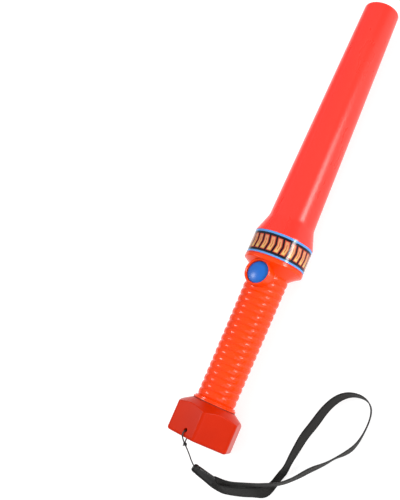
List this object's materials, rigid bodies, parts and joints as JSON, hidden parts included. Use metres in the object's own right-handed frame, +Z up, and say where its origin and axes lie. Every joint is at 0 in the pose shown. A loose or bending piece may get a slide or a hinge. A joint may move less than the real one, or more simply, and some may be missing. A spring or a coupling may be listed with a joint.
{
  "type": "traffic baton light",
  "caption": "Hand-held traffic baton light: red tube on a ribbed orange grip with a push button, hexagonal screw-on battery cap and wrist strap, with cells, switch and lamp inside.",
  "frame": {"origin": "on the surface the baton lies on, under the middle of its length", "axes": "+X along the baton towards the tip of the light tube, +Z up; the baton rests on one flat of its hexagonal cap and on the collar's rim, and the button points up, leaning 10 degrees towards -Y"},
  "size_m": [0.4077, 0.1423, 0.0498],
  "materials": {
    "red_plastic": "glossy translucent red",
    "band_print": "glossy film, printed",
    "orange_plastic": "glossy moulded",
    "black_rubber": "matt",
    "plated_steel": "bright plated",
    "screw_steel": "zinc plated",
    "cell_case": "printed metal jacket",
    "brass_strip": "bright",
    "white_plastic": "moulded",
    "board": "solder mask",
    "black_plastic": "moulded",
    "blue_plastic": "satin",
    "led_resin": "tinted resin",
    "reflector_metal": "vapour coated",
    "clear_lens": "clear moulded",
    "cord_fibre": "braided",
    "sleeve_plastic": "soft satin",
    "webbing": "woven ribs",
    "lead_red": "insulation",
    "lead_black": "insulation"
  },
  "bodies": {
    "baton": {"light_tube": "red_plastic", "label_band": "band_print", "handle_body": "orange_plastic", "battery_rear": "cell_case", "battery_front": "cell_case", "front_contact": "plated_steel", "return_strip": "brass_strip", "chassis": "white_plastic", "switch_board": "board", "board_screws": "screw_steel", "board_components": "black_plastic", "switch_body": "black_plastic", "button_spring": "plated_steel", "led_board": "board", "leds": "led_resin", "reflector": "reflector_metal", "lens": "clear_lens", "head_seal": "black_rubber", "head_screws": "screw_steel", "lead_positive": "lead_red", "lead_negative": "lead_black", "lead_led_red": "lead_red", "lead_led_black": "lead_black"},
    "cap_carrier": {"cap_gasket": "black_rubber"},
    "cap": {"end_cap": "orange_plastic", "rear_contact": "plated_steel", "rear_spring": "plated_steel", "strap_cord": "cord_fibre", "strap_knot": "cord_fibre", "strap_sleeve": "sleeve_plastic", "strap_webbing": "webbing"},
    "button": {"button": "blue_plastic"},
    "plunger": {"switch_plunger": "white_plastic"}
  },
  "joints": [
    {"name": "cap_draw", "type": "slide", "parent": "baton", "child": "cap_carrier", "axis": [-1, 0, 0], "range_m": [0, 0.0091]},
    {"name": "cap_turn", "type": "hinge", "parent": "cap_carrier", "child": "cap", "pos_m": [-0.19, 0, 0.024], "axis": [-1, 0, 0], "range_deg": [0, 1080]},
    {"name": "button_press", "type": "slide", "parent": "baton", "child": "button", "axis": [0, 0.1736, -0.9848], "range_m": [0, 0.0012], "stiffness_N_per_m": 400, "deforming": ["button_spring"]},
    {"name": "plunger_press", "type": "slide", "parent": "baton", "child": "plunger", "axis": [0, 0.1736, -0.9848], "range_m": [0, 0.0012]}
  ],
  "couplings": [
    {"joint": "cap_draw", "follows": "cap_turn", "m_per_rad": 0.00047746},
    {"joint": "plunger_press", "follows": "button_press", "ratio": 1}
  ]
}
